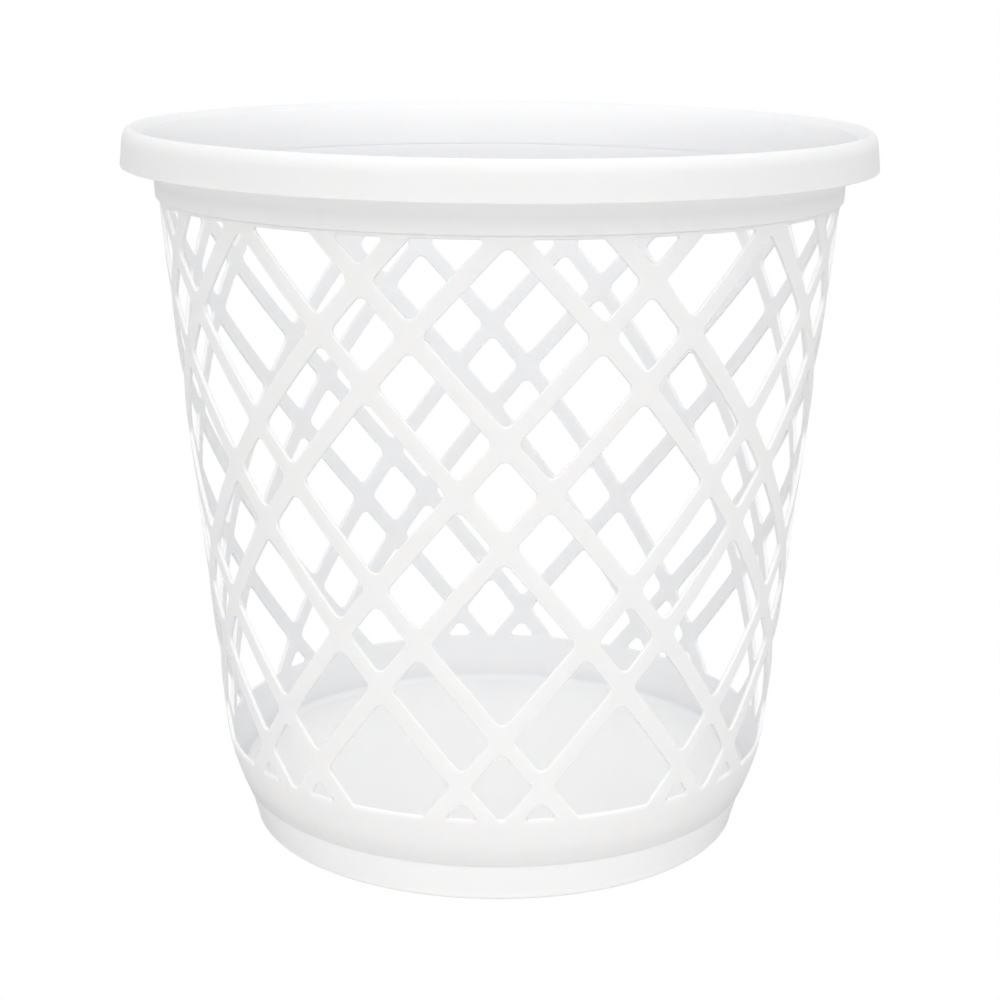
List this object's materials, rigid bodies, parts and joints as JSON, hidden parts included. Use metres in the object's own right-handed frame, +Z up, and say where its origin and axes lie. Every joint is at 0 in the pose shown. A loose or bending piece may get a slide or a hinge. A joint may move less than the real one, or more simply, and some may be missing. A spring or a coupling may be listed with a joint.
{
  "type": "wastebasket",
  "caption": "Round tapered open-lattice office wastebasket with a solid base band, a foot ring and a wide lift-off ring round the mouth that holds a bin bag.",
  "frame": {"origin": "centre of the circle on which the foot ring rests", "axes": "+Z up along the basket's axis, -Y towards the front, where two mirrored families of ribs cross on the centre line"},
  "size_m": [0.28, 0.28, 0.2686],
  "materials": {
    "wall_plastic": "satin moulded polypropylene, milky white, slightly translucent",
    "base_plastic": "satin moulded polypropylene, milky white, slightly translucent",
    "ring_plastic": "smoother satin moulded polypropylene, milky white, slightly translucent"
  },
  "bodies": {
    "basket": {"wall": "wall_plastic", "base": "base_plastic"},
    "ring": {"liner_ring": "ring_plastic"}
  },
  "joints": [
    {"name": "ring_lift", "type": "slide", "parent": "basket", "child": "ring", "axis": [0, 0, 1], "range_m": [0, 0.06]}
  ]
}
